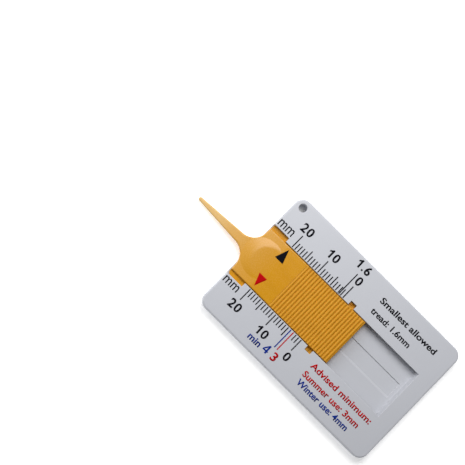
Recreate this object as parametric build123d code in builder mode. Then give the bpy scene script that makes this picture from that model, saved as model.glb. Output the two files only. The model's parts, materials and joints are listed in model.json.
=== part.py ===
"""Card-type tyre tread depth gauge: a slotted card with a printed 0-20 mm scale and a sliding probe.

Frame: millimetres. The origin is the centre of the card's flat back. +X runs from the reading edge,
which rests on the tread, towards the closed end; +Y towards the edge with the keyring hole; +Z out
of the printed face. The slider stands at its 20 mm reading, with the probe fully out along -X.
"""

import os

from build123d import *

os.makedirs("parts", exist_ok=True)

# ---- Card ----
card_length = 63.5
card_width = 41.6
card_thickness = 3.6
corner_radius = 2.9
face_edge_radius = 0.5
back_edge_radius = 0.3
keyring_radius = 1.2
keyring_inset = 2.6
keyring_chamfer = 0.15

# ---- Slot in the card, open at the reading edge; distances run from that edge ----
slot_length = 57.7
slot_half_width = 8.1
end_wall_run = 0.6
floor_thickness = 1.2
lip_thickness = 1.2
rim_radius = 0.12
channel_half_width = 9.45
cutout_length = 5.8
window_start, window_end = 30.4, 32.5

# ---- Groove in the slot's floor, for the slider's keel ----
groove_length = 56.7
groove_half_width = 2.7
groove_depth = 0.3
groove_slope_run = 0.5

# ---- Slider: plate between the lips, flanges beneath them ----
travel = 20.0
slider_end = 37.55
plate_half_width = 7.88
flange_half_width = 9.36
flange_thickness = 1.05
running_gap = 0.05
outline_radius = 0.35
front_corner_radius = 1.2
rear_corner_radius = 0.5
shoulder_x, shoulder_half_width = 0.15, 6.1
corner_x = 0.35

# ---- Probe, with the keel behind it ----
tip_radius = 0.55
neck_x, neck_half_width = -4.35, 1.5
keel_end = 36.4
keel_half_width = 2.1
keel_radius = 0.2

# ---- The slope from the slider's face down to the tip, and the round stage that stands on it ----
slope_start = 7.3
slope = 0.078
stage_x = 6.6
stage_radius = 5.2
stage_steepness = 0.22
stage_blend = 6.0

# ---- Thumb ribs across the slider ----
rib_count = 23
rib_pitch = 0.98
first_rib = 15.15
rib_radius = 0.45
rib_height = 0.15
rib_half_length = 7.78
valley_depth = 0.25

# ---- Stop bosses on the flanges, which catch in the windows, and their relief in the lips ----
boss_start = window_start + 0.05
boss_length = 1.3
boss_ramp = 0.5
boss_height = 0.4
boss_inner, boss_outer = 8.75, 9.3
relief_half_width = 8.6
relief_depth = 0.45

# ---- Hollows that thin the slider's underside, two rows of them ----
hollow_start, hollow_end = 3.2, 36.2
hollow_inner, hollow_outer = 3.2, 6.9
hollow_depth = 1.1
hollow_count = 4
hollow_wall = 1.0

# ---- Printing: scale lines reach from the slot's edge to these distances from its middle ----
ink = 0.03
tick_width = 0.32
zero_x = 28.0
scale_start = slot_half_width + 0.18
upper_reach = {"unit": 10.5, "five": 11.5, "ten": 12.6}
lower_reach = {"unit": 10.35, "five": 11.35, "ten": 12.35}
legal_limit, legal_mark_reach = 1.6, 15.95
summer_limit, winter_limit, advice_mark_reach = 3, 4, 15.0

# ---- Pointers on the slider: base, apex and half width across the card ----
pointer_x = zero_x - travel
pointer_height = 0.14
pointer_taper = 65
upper_pointer = (2.98, 7.15, 1.5)
lower_pointer = (-3.13, -6.87, 1.45)

# ---- Levels and places worked out from the above ----
overcut = 1.0
lip_underside = card_thickness - lip_thickness
flange_underside = floor_thickness + running_gap
flange_top = flange_underside + flange_thickness
keel_underside = floor_thickness - groove_depth + running_gap
plate_top = card_thickness
probe_tip = -travel
last_rib = first_rib + (rib_count - 1) * rib_pitch


def along(distance):
    """X of a point this far from the reading edge, positive into the card."""
    return distance - card_length / 2


def slab(start, end, low, high, sides=(1,)):
    """Rectangles between two distances along the card and two distances from its middle."""
    for side in sides:
        with Locations((along((start + end) / 2), side * (low + high) / 2)):
            Rectangle(end - start, high - low)


# ---- Card body: one moulding, with the slot, the lips and the openings that form them ----
with BuildPart() as card_body:
    with BuildSketch():
        RectangleRounded(card_length, card_width, corner_radius)
    extrude(amount=card_thickness)
    fillet(card_body.faces().sort_by(Axis.Z)[-1].edges(), face_edge_radius)
    fillet(card_body.faces().sort_by(Axis.Z)[0].edges(), back_edge_radius)

    # The slot, with its sloping end wall.
    with BuildSketch(Plane.XZ):
        with BuildLine():
            Polyline(
                (along(-overcut), floor_thickness),
                (along(slot_length), floor_thickness),
                (along(slot_length + end_wall_run), card_thickness),
                (along(slot_length + end_wall_run), card_thickness + overcut),
                (along(-overcut), card_thickness + overcut),
                close=True,
            )
        make_face()
    extrude(amount=slot_half_width, both=True, mode=Mode.SUBTRACT)

    # The cut-outs at the reading edge and the windows, where there is no lip.
    with BuildSketch(Plane.XY.offset(floor_thickness)):
        slab(-overcut, cutout_length, -channel_half_width, channel_half_width)
        slab(window_start, window_end, -channel_half_width, channel_half_width)
    extrude(amount=card_thickness, mode=Mode.SUBTRACT)
    rim = card_body.edges().filter_by_position(Axis.Z, card_thickness - 0.01, card_thickness + 0.01)
    fillet(rim.filter_by(lambda edge: abs(edge.center().Y) < channel_half_width + 0.01), rim_radius)

    # The channel beneath the lips, for the flanges.
    with BuildSketch(Plane.XY.offset(floor_thickness)):
        slab(-overcut, slot_length, -channel_half_width, channel_half_width)
    extrude(amount=lip_underside - floor_thickness, mode=Mode.SUBTRACT)

    # The openings in the back that form the undersides of the lips.
    with BuildSketch():
        slab(cutout_length, window_start, slot_half_width, channel_half_width, (1, -1))
        slab(window_end, slot_length, slot_half_width, channel_half_width, (1, -1))
    extrude(amount=lip_underside, mode=Mode.SUBTRACT)

    # The relief beneath the lips that lets the stop bosses run back from the windows.
    with BuildSketch(Plane.XY.offset(lip_underside)):
        slab(window_end, slot_length, relief_half_width, channel_half_width, (1, -1))
    extrude(amount=relief_depth, mode=Mode.SUBTRACT)

    # The floor groove: upright on one side, sloping on the other.
    with BuildSketch(Plane.YZ.offset(along(-overcut))):
        with BuildLine():
            Polyline(
                (groove_half_width, floor_thickness),
                (groove_half_width, floor_thickness - groove_depth),
                (groove_slope_run - groove_half_width, floor_thickness - groove_depth),
                (-groove_half_width, floor_thickness),
                close=True,
            )
        make_face()
    extrude(amount=groove_length + overcut, mode=Mode.SUBTRACT)

    # The keyring hole.
    with Locations((along(keyring_inset), card_width / 2 - keyring_inset)):
        Hole(keyring_radius)
    hole_rims = card_body.edges().filter_by(GeomType.CIRCLE)
    hole_rims = hole_rims.filter_by(lambda edge: abs(edge.radius - keyring_radius) < 0.01)
    chamfer(hole_rims, keyring_chamfer)

card_body.part.label = "card_body"
export_step(card_body.part, "parts/card_body.step")


# ---- Slider body: plate, flanges, ribs, ramp, probe and keel in one moulding ----
with BuildSketch() as flange_plan:
    with BuildLine():
        CenterArc((along(probe_tip + tip_radius), 0), tip_radius, 90, 90)
        side = Line((along(probe_tip + tip_radius), tip_radius), (along(neck_x), neck_half_width))
        shoulder = TangentArc(side @ 1, (along(shoulder_x), shoulder_half_width), tangent=side % 1)
        Polyline(
            shoulder @ 1,
            (along(corner_x), flange_half_width),
            (along(slider_end), flange_half_width),
            (along(slider_end), 0),
            (along(probe_tip), 0),
        )
    make_face()
    mirror(about=Plane.XZ)
    front_corners = flange_plan.vertices().filter_by_position(
        Axis.X, along(corner_x) - 0.01, along(corner_x) + 0.01
    )
    fillet(front_corners.sort_by(Axis.Y)[0], front_corner_radius)
    rear_corners = flange_plan.vertices().filter_by_position(
        Axis.X, along(corner_x) - 0.01, along(corner_x) + 0.01
    )
    fillet(rear_corners.sort_by(Axis.Y)[-1], rear_corner_radius)

# What the slope takes off the plate: a wedge that widens towards the tip, with the stage left standing.
slope_end = probe_tip - overcut
slope_drop = slope * (slope_start - slope_end)
stage_foot = stage_radius + overcut / stage_steepness
with BuildPart() as clearing:
    with BuildSketch(Plane.XZ):
        with BuildLine():
            Polyline(
                (along(slope_start), plate_top),
                (along(slope_end), plate_top - slope_drop),
                (along(slope_end), plate_top + overcut),
                (along(slope_start), plate_top + overcut),
                close=True,
            )
        make_face()
    extrude(amount=plate_half_width + overcut, both=True)
    with BuildSketch(Plane.XZ):
        with BuildLine():
            rise = FilletPolyline(
                (along(stage_x), plate_top),
                (along(stage_x + stage_radius), plate_top),
                (along(stage_x + stage_foot), plate_top - overcut),
                radius=stage_blend,
            )
            Polyline(rise @ 1, (along(stage_x), plate_top - overcut), rise @ 0)
        make_face()
    revolve(axis=Axis((along(stage_x), 0, 0), (0, 0, 1)), mode=Mode.SUBTRACT)

with BuildPart() as slider_body:
    # The plate and the probe's upper half.
    with BuildSketch(Plane.XY.offset(flange_underside)):
        add(flange_plan.sketch)
        Rectangle(4 * card_length, 2 * plate_half_width, mode=Mode.INTERSECT)
    extrude(amount=plate_top - flange_underside)
    add(clearing.part, mode=Mode.SUBTRACT)

    # The rounded upper edge, round the whole outline.
    walls = slider_body.faces().filter_by(lambda face: abs(face.normal_at().Z) < 0.01)
    rim = walls.edges().filter_by(lambda edge: edge.bounding_box().min.Z > flange_underside)
    fillet(rim, outline_radius)

    # The keel in the floor groove, which carries on as the probe's lower half.
    with BuildSketch(Plane.XY.offset(keel_underside)):
        add(flange_plan.sketch)
        with Locations((along((probe_tip + keel_end) / 2), 0)):
            Rectangle(keel_end - probe_tip, 2 * keel_half_width, mode=Mode.INTERSECT)
    extrude(amount=flange_underside - keel_underside)
    fillet(slider_body.edges().group_by(Axis.Z)[0], keel_radius)

    # The flanges that run beneath the lips.
    with BuildSketch(Plane.XY.offset(flange_underside)):
        add(flange_plan.sketch)
        Rectangle(4 * card_length, 2 * plate_half_width, mode=Mode.SUBTRACT)
    extrude(amount=flange_thickness)

    # The stop bosses: upright towards the probe, ramped on the side that leads in at assembly.
    with BuildSketch(Plane.XZ.offset(-boss_outer), Plane.XZ.offset(boss_inner)):
        with BuildLine():
            Polyline(
                (along(boss_start), flange_top),
                (along(boss_start), flange_top + boss_height),
                (along(boss_start + boss_length - boss_ramp), flange_top + boss_height),
                (along(boss_start + boss_length), flange_top),
                close=True,
            )
        make_face()
    extrude(amount=boss_outer - boss_inner)

    # The thumb ribs: half-round bars on a shallow bed.
    with BuildSketch(Plane.XY.offset(plate_top - valley_depth)):
        slab(first_rib - rib_pitch / 2, last_rib + rib_pitch / 2, -channel_half_width, channel_half_width)
    extrude(amount=plate_top, mode=Mode.SUBTRACT)
    with BuildSketch(Plane.XZ):
        with Locations(Location((along((first_rib + last_rib) / 2), plate_top + rib_height - rib_radius))):
            with GridLocations(rib_pitch, 0, rib_count, 1):
                Circle(rib_radius)
    extrude(amount=rib_half_length, both=True)

    # The hollows that thin the underside.
    hollow_pitch = (hollow_end - hollow_start + hollow_wall) / hollow_count
    hollow_middle = ((hollow_start + hollow_end) / 2, (hollow_inner + hollow_outer) / 2)
    with BuildSketch(Plane.XY.offset(flange_underside)):
        with Locations((along(hollow_middle[0]), 0)):
            with GridLocations(hollow_pitch, 2 * hollow_middle[1], hollow_count, 2):
                Rectangle(hollow_pitch - hollow_wall, hollow_outer - hollow_inner)
    extrude(amount=hollow_depth, mode=Mode.SUBTRACT)

slider_body.part.label = "slider_body"
export_step(slider_body.part, "parts/slider_body.step")


# ---- Printing on the card: thin layers of ink on its face ----
def tick_kind(value):
    """How far a scale tick reaches, by its value in millimetres."""
    if value % 10 == 0:
        return "ten"
    return "five" if value % 5 == 0 else "unit"


def tick(value, reach, side):
    """One printed line across the scale at this reading, out to this distance from the middle."""
    with Locations((along(zero_x - value), side * (scale_start + reach) / 2)):
        Rectangle(tick_width, reach - scale_start)


with BuildPart() as upper_scale_ink:
    with BuildSketch(Plane.XY.offset(card_thickness)):
        for value in range(int(travel) + 1):
            tick(value, upper_reach[tick_kind(value)], 1)
        tick(legal_limit, legal_mark_reach, 1)
    extrude(amount=ink)
upper_scale_ink.part.label = "upper_scale_ink"
export_step(upper_scale_ink.part, "parts/upper_scale_ink.step")

with BuildPart() as lower_scale_ink:
    with BuildSketch(Plane.XY.offset(card_thickness)):
        for value in range(int(travel) + 1):
            if value not in (summer_limit, winter_limit):
                tick(value, lower_reach[tick_kind(value)], -1)
    extrude(amount=ink)
lower_scale_ink.part.label = "lower_scale_ink"
export_step(lower_scale_ink.part, "parts/lower_scale_ink.step")

with BuildPart() as summer_limit_ink:
    with BuildSketch(Plane.XY.offset(card_thickness)):
        tick(summer_limit, advice_mark_reach, -1)
    extrude(amount=ink)
summer_limit_ink.part.label = "summer_limit_ink"
export_step(summer_limit_ink.part, "parts/summer_limit_ink.step")

with BuildPart() as winter_limit_ink:
    with BuildSketch(Plane.XY.offset(card_thickness)):
        tick(winter_limit, advice_mark_reach, -1)
    extrude(amount=ink)
winter_limit_ink.part.label = "winter_limit_ink"
export_step(winter_limit_ink.part, "parts/winter_limit_ink.step")


# ---- Pointers on the slider, one for each scale: raised arrowheads with sloping sides ----
def arrowhead(base, apex, half_width):
    """A triangle that stands on its base and points across the slider."""
    heading = 1 if apex > base else -1
    Polygon(
        (along(pointer_x - heading * half_width), base),
        (along(pointer_x + heading * half_width), base),
        (along(pointer_x), apex),
        align=None,
    )


with BuildPart() as upper_pointer_ink:
    with BuildSketch(Plane.XY.offset(plate_top)):
        arrowhead(*upper_pointer)
    extrude(amount=pointer_height, taper=pointer_taper)
upper_pointer_ink.part.label = "upper_pointer_ink"
export_step(upper_pointer_ink.part, "parts/upper_pointer_ink.step")

with BuildPart() as lower_pointer_ink:
    with BuildSketch(Plane.XY.offset(plate_top)):
        arrowhead(*lower_pointer)
    extrude(amount=pointer_height, taper=pointer_taper)
lower_pointer_ink.part.label = "lower_pointer_ink"
export_step(lower_pointer_ink.part, "parts/lower_pointer_ink.step")
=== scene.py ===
# The looks of a card-type tyre tread gauge: moulded plastics, printing, studio floor, lamps and camera.
# Everything is in metres in the frame of the CAD model: +X from the reading edge to the closed end,
# +Y to the keyring edge, +Z out of the printed face. Sizes that read better in millimetres are times MM.

import json
import math

import bmesh
import bpy
from mathutils import Matrix, Vector


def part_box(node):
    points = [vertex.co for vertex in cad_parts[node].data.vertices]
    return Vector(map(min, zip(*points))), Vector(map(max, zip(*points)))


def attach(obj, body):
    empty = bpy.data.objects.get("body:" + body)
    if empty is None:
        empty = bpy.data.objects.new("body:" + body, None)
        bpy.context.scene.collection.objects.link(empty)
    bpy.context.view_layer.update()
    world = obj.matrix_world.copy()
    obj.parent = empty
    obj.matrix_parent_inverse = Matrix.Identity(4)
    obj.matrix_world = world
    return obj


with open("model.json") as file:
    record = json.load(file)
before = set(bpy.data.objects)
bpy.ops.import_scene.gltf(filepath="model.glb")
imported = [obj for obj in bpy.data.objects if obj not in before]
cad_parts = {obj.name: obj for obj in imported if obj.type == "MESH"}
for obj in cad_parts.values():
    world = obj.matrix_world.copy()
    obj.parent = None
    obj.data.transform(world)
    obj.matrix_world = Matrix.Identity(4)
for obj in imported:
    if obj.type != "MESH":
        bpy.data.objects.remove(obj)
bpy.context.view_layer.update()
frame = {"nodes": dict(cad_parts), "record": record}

MM = 0.001
card_low, card_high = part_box("card_body")
face_level = card_high.z
ink_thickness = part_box("upper_scale_ink")[1].z - face_level
reading_edge = card_low.x / MM  # in millimetres along X


# ---- Node trees ----
class Finish:
    """A material with one Principled shader, and short calls for the nodes that the finishes share."""

    def __init__(self, name, **shader_values):
        self.material = bpy.data.materials.new(name)
        self.material.use_nodes = True
        self.tree = self.material.node_tree
        self.shader = self.tree.nodes["Principled BSDF"]
        for socket, value in shader_values.items():
            self.shader.inputs[socket.replace("_", " ")].default_value = value
        coordinates = self.tree.nodes.new("ShaderNodeTexCoord")
        self.place = coordinates.outputs["Object"]

    def node(self, kind, sockets=(), **settings):
        """A node with these settings, and these values or links on its inputs."""
        made = self.tree.nodes.new(kind)
        for name, value in settings.items():
            setattr(made, name, value)
        for key, value in dict(sockets).items():
            if isinstance(value, bpy.types.NodeSocket):
                self.tree.links.new(value, made.inputs[key])
            else:
                made.inputs[key].default_value = value
        return made

    def noise(self, size, detail=2.0, stretch=(1, 1, 1), turn=0.0):
        """Noise whose features are about this many millimetres across, longer where stretch is over 1."""
        spacing = tuple(size * MM * times for times in stretch)
        mapping = {"Vector": self.place, "Scale": spacing, "Rotation": (0, 0, turn)}
        mapped = self.node("ShaderNodeMapping", mapping, vector_type="TEXTURE")
        sockets = {"Vector": mapped.outputs[0], "Scale": 1.0, "Detail": detail}
        return self.node("ShaderNodeTexNoise", sockets).outputs["Fac"]

    def remap(self, value, low, high, to_low=0.0, to_high=1.0):
        """The value's range from low to high, stretched over another range and held there."""
        sockets = {"Value": value, "From Min": low, "From Max": high, "To Min": to_low, "To Max": to_high}
        return self.node("ShaderNodeMapRange", sockets).outputs["Result"]

    def mix(self, share, first, second):
        """One colour or the other, by share."""
        mixed = self.node("ShaderNodeMix", data_type="RGBA")
        sockets = {0: share, 6: first, 7: second}
        for index, value in sockets.items():
            if isinstance(value, bpy.types.NodeSocket):
                self.tree.links.new(value, mixed.inputs[index])
            else:
                mixed.inputs[index].default_value = value
        return mixed.outputs[2]

    def math(self, operation, first, second=0.0):
        return self.node("ShaderNodeMath", {0: first, 1: second}, operation=operation).outputs[0]

    def edges(self, radius):
        """How strongly a point lies on an outer or inner edge, from 0 to 1."""
        rounded = self.node("ShaderNodeBevel", {"Radius": radius * MM}, samples=6).outputs[0]
        flat = self.node("ShaderNodeNewGeometry").outputs["Normal"]
        same = self.node("ShaderNodeVectorMath", {0: rounded, 1: flat}, operation="DOT_PRODUCT")
        return self.remap(same.outputs["Value"], 0.995, 0.9)

    def bump(self, height, depth, below=None):
        """A bump this many millimetres deep, on top of another one."""
        sockets = {"Height": height, "Distance": depth * MM, "Strength": 1.0}
        if below is not None:
            sockets["Normal"] = below
        return self.node("ShaderNodeBump", sockets).outputs["Normal"]

    def drive(self, **links):
        """Links outputs to the shader's inputs."""
        for socket, output in links.items():
            self.tree.links.new(output, self.shader.inputs[socket.replace("_", " ")])


def rgb(red, green, blue):
    return (red, green, blue, 1.0)


def card_finish():
    """Pale grey moulded plastic: a fine sparked texture, faint mottling and a little rubbed wear."""
    card = Finish("card_plastic", IOR=1.48)
    broad = card.noise(14, detail=3)
    fine = card.noise(0.9, detail=4)
    scuffs = card.remap(card.noise(0.16, detail=3, stretch=(26, 1, 1), turn=0.62), 0.66, 0.74)
    worn = card.edges(0.35)
    colour = card.mix(broad, rgb(0.575, 0.590, 0.640), rgb(0.605, 0.615, 0.660))
    speckled = card.mix(card.remap(fine, 0.35, 0.65, 0.0, 0.5), colour, rgb(0.590, 0.603, 0.650))
    rubbed = card.mix(card.math("MULTIPLY", worn, 0.35), speckled, rgb(0.72, 0.73, 0.75))
    roughness = card.remap(fine, 0.3, 0.7, 0.32, 0.40)
    scuffed = card.math("ADD", roughness, card.math("MULTIPLY", scuffs, 0.12))
    sparked = card.bump(card.noise(0.22, detail=3), 0.003)
    wavy = card.bump(card.noise(9, detail=1), 0.03, below=sparked)
    card.drive(Base_Color=rubbed, Roughness=scuffed, Normal=wavy)
    return card.material


def slider_finish():
    """Glossy amber plastic with flow streaks, duller on the gripped ribs, with painted light: a paler head
    and tip for light through thin plastic and sheen.
    """
    slider = Finish("slider_plastic", IOR=1.5, Specular_IOR_Level=0.4)
    flow = slider.noise(1.6, detail=4, stretch=(7, 1, 1))
    broad = slider.noise(7, detail=2)
    fine = slider.noise(0.35, detail=3)
    worn = slider.edges(0.18)
    colour = slider.mix(slider.remap(flow, 0.3, 0.7), rgb(0.650, 0.292, 0.003), rgb(0.700, 0.324, 0.006))
    warmed = slider.mix(slider.remap(broad, 0.3, 0.7, 0.0, 0.35), colour, rgb(0.655, 0.275, 0.002))
    spot = slider.node("ShaderNodeSeparateXYZ", {0: slider.place}).outputs

    def along(start, end, *values):
        """From 0 to 1, or between the values, from one distance behind the reading edge to another."""
        return slider.remap(spot["X"], (reading_edge + start) * MM, (reading_edge + end) * MM, *values)

    # Painted light: the top of the head above the flanges, then the thin probe towards its tip, are made
    # paler, for light through thin plastic and sheen.
    above_flanges = slider.remap(spot["Z"], 2.4 * MM, 2.7 * MM)
    head = slider.math("MULTIPLY", along(9, 0), above_flanges)
    painted_glow_head = slider.mix(head, warmed, rgb(0.69, 0.345, 0.045))
    painted_glow_tip = slider.mix(along(-2, -12), painted_glow_head, rgb(0.75, 0.475, 0.165))
    rubbed = slider.mix(slider.math("MULTIPLY", worn, 0.3), painted_glow_tip, rgb(0.78, 0.48, 0.10))
    gripped = along(14.5, 15, 0.0, 0.25)
    roughness = slider.math("ADD", slider.remap(fine, 0.3, 0.7, 0.24, 0.30), gripped)
    polished = slider.bump(slider.noise(0.35, detail=2), 0.0012)
    wavy = slider.bump(flow, 0.004, below=polished)
    slider.drive(Base_Color=rubbed, Roughness=roughness, Normal=wavy)
    return slider.material


def ink_finish(name, thick, thin):
    """Printing ink: an uneven film, thinner in places, with the card's texture under it."""
    ink = Finish(name, IOR=1.45, Specular_IOR_Level=0.05)
    uneven = ink.noise(0.25, detail=3)
    colour = ink.mix(ink.remap(uneven, 0.35, 0.75), rgb(*thick), rgb(*thin))
    roughness = ink.remap(uneven, 0.3, 0.7, 0.55, 0.7)
    textured = ink.bump(ink.noise(0.22, detail=3), 0.003)
    ink.drive(Base_Color=colour, Roughness=roughness, Normal=textured)
    return ink.material


def floor_finish():
    """Matt white paper that glows evenly, with painted shade where the card covers it: no glow there."""
    paper = Finish("studio_paper", Specular_IOR_Level=0.1, Emission_Color=rgb(1, 1, 1))
    spot = paper.node("ShaderNodeSeparateXYZ", {0: paper.place}).outputs
    glow = 0.45
    fade_start, fade_end = 0.6 * MM, 1.2 * MM  # inside the card's outline

    def covered(axis, half_side):
        """How far a point is under the card along one axis, from 0 to 1."""
        away = paper.math("ABSOLUTE", spot[axis])
        return paper.remap(away, half_side - fade_start, half_side - fade_end)

    # Painted shade under the card: the glow fades to nothing there, so the paper seen through the keyring
    # hole stays dark.
    painted_shade_under_card = paper.math("MULTIPLY", covered("X", card_high.x), covered("Y", card_high.y))
    paper.drive(Emission_Strength=paper.remap(painted_shade_under_card, 0.0, 1.0, glow, 0.0))
    paper.material.cycles.emission_sampling = "NONE"  # only the lamps are sampled as lights: less grain
    fibre = paper.noise(3, detail=4)
    colour = paper.mix(fibre, rgb(0.97, 0.97, 0.97), rgb(0.99, 0.99, 0.99))
    roughness = paper.remap(fibre, 0.3, 0.7, 0.85, 0.95)
    paper.drive(Base_Color=colour, Roughness=roughness, Normal=paper.bump(fibre, 0.02))
    return paper.material


finishes = {
    "card_plastic": card_finish(),
    "slider_plastic": slider_finish(),
    "black_ink": ink_finish("black_ink", (0.003, 0.003, 0.006), (0.009, 0.009, 0.014)),
    "red_ink": ink_finish("red_ink", (0.48, 0.001, 0.003), (0.55, 0.004, 0.008)),
    "blue_ink": ink_finish("blue_ink", (0.003, 0.022, 0.24), (0.008, 0.040, 0.30)),
}

for subpart in frame["record"]["subparts"]:
    node = frame["nodes"][subpart["node"]]
    for material_slot in node.material_slots:
        material_slot.material = finishes[subpart["material_slot"]]


# ---- Printed lettering: thin closed pieces of ink on the card's face ----
# How much the font's strokes are thickened on each side, in ems.
heavy, bold, regular = 0.026, 0.024, 0.004

# Numerals in units of their own height: where each one's ink starts and how wide it is, or its outlines.
numeral_shape = {
    "2": (0.04, 0.665),
    "3": (0.05, 0.665),
    "6": (0.057, 0.66),
}
one_outline = (
    (0.335, 0), (0.545, 0), (0.545, 1), (0.385, 1), (0.285, 0.88), (0.084, 0.75), (0.084, 0.56),
    (0.335, 0.7),
)
four_outline = (
    (0.44, 0), (0.63, 0), (0.63, 0.2), (0.73, 0.2), (0.73, 0.36), (0.63, 0.36), (0.63, 1), (0.47, 1),
    (0.03, 0.37), (0.03, 0.2), (0.44, 0.2),
)
four_counter = ((0.44, 0.36), (0.2, 0.36), (0.44, 0.72))
point_outline = ((0.1, 0), (0.29, 0), (0.29, 0.19), (0.1, 0.19))
zero_middle, zero_width, zero_stroke, zero_cap = 0.386, 0.69, 0.22, 0.175
oval_corners, oval_power = 28, 0.88
numeral_step, point_step = 0.777, 0.388


def flat_shape(outlines):
    """A flat filled mesh inside the first outline and outside the others."""
    curve = bpy.data.curves.new("outline", "CURVE")
    curve.dimensions, curve.fill_mode = "2D", "FRONT"
    for outline in outlines:
        spline = curve.splines.new("POLY")
        spline.points.add(len(outline) - 1)
        for point, (x, y) in zip(spline.points, outline):
            point.co = (x, y, 0, 1)
        spline.use_cyclic_u = True
    return filled(curve)


def oval(width, height):
    """The corners of a slightly squared oval around the middle of a zero."""
    corners = []
    for step in range(oval_corners):
        turn = math.tau * step / oval_corners
        across, up = math.cos(turn), math.sin(turn)
        x = zero_middle + math.copysign(abs(across) ** oval_power, across) * width / 2
        y = 0.5 + math.copysign(abs(up) ** oval_power, up) * height / 2
        corners.append((x, y))
    return corners


def flat_words(words, weight):
    """The words as a flat filled mesh, one unit to the em, with the baseline at y = 0."""
    curve = bpy.data.curves.new("words", "FONT")
    curve.body, curve.offset, curve.fill_mode, curve.resolution_u = words, weight, "FRONT", 5
    return filled(curve)


def filled(curve):
    """The filled mesh of a curve, which is then removed."""
    holder = bpy.data.objects.new("holder", curve)
    mesh = bpy.data.meshes.new_from_object(holder)
    bpy.data.objects.remove(holder)
    bpy.data.curves.remove(curve)
    return mesh


def fitted(mesh, left, base, width, height):
    """The mesh moved and stretched to that left edge, width and height over the baseline."""
    xs = [vertex.co.x for vertex in mesh.vertices]
    top = max(vertex.co.y for vertex in mesh.vertices)
    for vertex in mesh.vertices:
        vertex.co.x = left + (vertex.co.x - min(xs)) * width / (max(xs) - min(xs))
        vertex.co.y = base + vertex.co.y * height / top
    return mesh


numeral_outlines = {
    "0": [oval(zero_width, 1), oval(zero_width - 2 * zero_stroke, 1 - 2 * zero_cap)],
    "1": [one_outline],
    "4": [four_outline, four_counter],
    ".": [point_outline],
}


def numerals(text, left, base, height):
    """Numerals side by side, as flat meshes. left is where the first one's ink starts."""
    shapes, pen = [], 0.0
    for character in text:
        if character in numeral_shape:
            start, width = numeral_shape[character]
            shape = fitted(flat_words(character, heavy), start, 0, width, 1)
        else:
            shape = flat_shape(numeral_outlines[character])
        for vertex in shape.vertices:
            vertex.co.x += pen
        shapes.append(shape)
        pen += point_step if character == "." else numeral_step
    first = min(vertex.co.x for shape in shapes for vertex in shape.vertices)
    for shape in shapes:
        for vertex in shape.vertices:
            vertex.co.x = left + (vertex.co.x - first) * height
            vertex.co.y = base + vertex.co.y * height
    return shapes


def printed(name, shapes, ink):
    """One piece of print: the flat shapes, in millimetres on the card, as closed films of ink."""
    weld, sliver = 0.002, 0.001
    film = bmesh.new()
    for shape in shapes:
        film.from_mesh(shape)
        bpy.data.meshes.remove(shape)
    bmesh.ops.remove_doubles(film, verts=film.verts, dist=weld)
    bmesh.ops.dissolve_degenerate(film, edges=film.edges, dist=sliver)
    # The flat shapes stay as the underside, and the same outlines raised make the walls and the top.
    for face in film.faces:
        if face.normal.z > 0:
            face.normal_flip()
    raised = bmesh.ops.extrude_face_region(film, geom=film.faces[:], use_keep_orig=True)
    for item in raised["geom"]:
        if isinstance(item, bmesh.types.BMVert):
            item.co.z = ink_thickness / MM
    bmesh.ops.recalc_face_normals(film, faces=film.faces)
    for vertex in film.verts:
        vertex.co = Vector((vertex.co.x * MM, vertex.co.y * MM, face_level + vertex.co.z * MM))
    mesh = bpy.data.meshes.new(name)
    film.to_mesh(mesh)
    film.free()
    mesh.materials.append(finishes[ink])
    piece = bpy.data.objects.new(name, mesh)
    bpy.context.scene.collection.objects.link(piece)
    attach(piece, "card")


numeral_height, small_numeral_height = 2.66, 2.52
upper_base, lower_base = 13.43, -15.75
legend_height = 1.85


def line(words, left, base, width, weight=bold, height=legend_height):
    """One line of lettering as a flat mesh, in millimetres on the card."""
    return fitted(flat_words(words, weight), left, base, width, height)


printed(
    "upper_numerals",
    numerals("20", -25.8, upper_base, numeral_height)
    + numerals("10", -15.45, upper_base, numeral_height)
    + numerals("0", -4.54, upper_base, numeral_height),
    "black_ink",
)
printed(
    "lower_numerals",
    numerals("20", -25.6, lower_base, numeral_height)
    + numerals("10", -14.95, lower_base, numeral_height)
    + numerals("0", -4.29, lower_base, numeral_height),
    "black_ink",
)
printed("legal_limit_numerals", numerals("1.6", -7.7, 17.3, numeral_height), "black_ink")
printed("upper_unit", [line("mm", -31.3, 10.0, 5.3, regular, 2.0)], "black_ink")
printed("lower_unit", [line("mm", -31.2, -11.9, 5.2, regular, 1.9)], "black_ink")
printed("winter_numeral", numerals("4", -9.87, -18.1, numeral_height), "blue_ink")
printed("winter_word", [line("min", -15.2, -18.3, 4.25)], "blue_ink")
printed("summer_numeral", numerals("3", -6.7, -18.15, small_numeral_height), "red_ink")
printed(
    "legal_legend",
    [line("Smallest allowed", 4.4, 14.85, 21.3), line("tread: 1.6mm", 4.4, 11.0, 14.7)],
    "black_ink",
)
printed(
    "summer_legend",
    [line("Advised minimum:", 3.1, -11.8, 23.0), line("Summer use: 3mm", 3.1, -15.05, 21.2)],
    "red_ink",
)
printed("winter_legend", [line("Winter use: 4mm", 3.4, -17.8, 19.2)], "blue_ink")


# ---- Floor, lamps and world ----
def floor():
    """A wide sheet of white paper just under the card."""
    half_side, gap = 1.5, 0.02 * MM
    level = card_low.z - gap
    sheet = bpy.data.meshes.new("floor")
    signs = ((-1, -1), (1, -1), (1, 1), (-1, 1))
    corners = [(x * half_side, y * half_side, level) for x, y in signs]
    sheet.from_pydata(corners, [], [(0, 1, 2, 3)])
    sheet.materials.append(floor_finish())
    paper = bpy.data.objects.new("floor", sheet)
    bpy.context.scene.collection.objects.link(paper)


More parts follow.
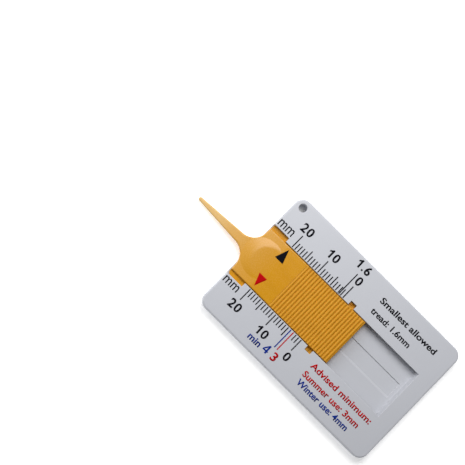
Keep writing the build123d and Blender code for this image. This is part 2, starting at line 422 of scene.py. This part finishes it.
def lamp(name, azimuth, elevation, distance, size, watts, colour):
    """A square soft light that looks at the middle of the card, with angles in degrees."""
    light = bpy.data.lights.new(name, "AREA")
    light.size, light.energy, light.color = size * MM, watts, colour
    stand = bpy.data.objects.new(name, light)
    bpy.context.scene.collection.objects.link(stand)
    turn, rise = math.radians(azimuth), math.radians(elevation)
    towards = Vector((math.cos(rise) * math.cos(turn), math.cos(rise) * math.sin(turn), math.sin(rise)))
    stand.visible_camera = False
    stand.location = towards * distance * MM
    stand.rotation_euler = towards.to_track_quat("Z", "Y").to_euler()


def surround(strength, opening, edge):
    """A pale tent all round that ends in a dark opening overhead. The heights are sines of elevations."""
    world = bpy.data.worlds.new("tent")
    bpy.context.scene.world = world
    world.use_nodes = True
    nodes, links = world.node_tree.nodes, world.node_tree.links
    direction = nodes.new("ShaderNodeTexCoord").outputs["Generated"]
    height = nodes.new("ShaderNodeSeparateXYZ")
    fade = nodes.new("ShaderNodeMapRange")
    links.new(direction, height.inputs[0])
    links.new(height.outputs["Z"], fade.inputs["Value"])
    for socket, value in zip(("From Min", "From Max", "To Min", "To Max"), (edge, opening, strength, 0)):
        fade.inputs[socket].default_value = value
    links.new(fade.outputs["Result"], nodes["Background"].inputs["Strength"])
    nodes["Background"].inputs["Color"].default_value = rgb(0.97, 0.985, 1.0)


floor()
lamp("key", azimuth=115, elevation=57, distance=280, size=180, watts=0.60, colour=(1.0, 0.995, 0.985))
lamp("side", azimuth=180, elevation=31, distance=230, size=120, watts=0.17, colour=(0.99, 0.995, 1.0))
surround(strength=0.21, opening=0.93, edge=0.80)

# ---- Camera: high over the card, turned so that the card lies across the picture's diagonal ----
camera_place = Vector((-51.0, -46.9, 445.1)) * MM
camera_aim = Vector((-38.37, -0.61, 3.6)) * MM
picture_top = math.radians(134.73)

camera = bpy.data.objects.new("camera", bpy.data.cameras.new("camera"))
camera.data.sensor_width, camera.data.lens = 36.0, 123.87
bpy.context.scene.collection.objects.link(camera)
back = (camera_place - camera_aim).normalized()
right = Vector((math.cos(picture_top), math.sin(picture_top), 0)).cross(back).normalized()
top = back.cross(right)
camera.location = camera_place
camera.rotation_mode = "QUATERNION"
camera.rotation_quaternion = Matrix((right, top, back)).transposed().to_quaternion()
bpy.context.scene.camera = camera
bpy.context.scene.view_settings.view_transform = "Standard"
